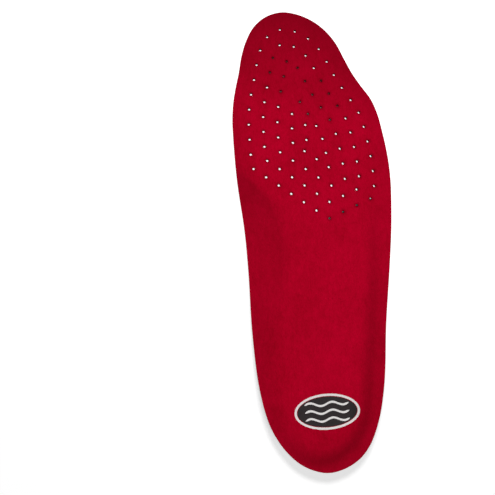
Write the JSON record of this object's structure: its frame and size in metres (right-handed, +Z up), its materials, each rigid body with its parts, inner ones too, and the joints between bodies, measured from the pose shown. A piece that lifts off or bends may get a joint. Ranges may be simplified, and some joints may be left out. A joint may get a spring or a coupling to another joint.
{
  "type": "cushioned insole",
  "caption": "Cushioned moulded insole for a right shoe: cloth-faced laminate with heel cup, arch flange, punched forefoot, stabiliser shell and cushion inserts.",
  "frame": {"origin": "on the ground, under the middle of the bounding box of the insole lying flat", "axes": "+Y from the heel to the toe, +X to the outer (lateral) side of the right foot, +Z up, from the underside to the cloth"},
  "size_m": [0.094, 0.282, 0.0228],
  "materials": {
    "cloth": "brushed, matte, short nap",
    "comfort_foam": "open-cell foam, matte",
    "bed_foam": "moulded foam with a fine skin, matte",
    "shell_plastic": "satin moulded plastic",
    "cushion_gel": "soft satin elastomer",
    "white_ink": "transfer print, matte",
    "dark_ink": "transfer print, matte"
  },
  "bodies": {
    "root": {"top_cover": "cloth", "comfort_layer": "comfort_foam", "footbed": "bed_foam", "arch_shell": "shell_plastic", "heel_cushion": "cushion_gel", "toe_cushion": "cushion_gel", "mark_ring": "white_ink", "mark_field": "dark_ink", "mark_wave_1": "white_ink", "mark_wave_2": "white_ink", "mark_wave_3": "white_ink"}
  },
  "joints": []
}
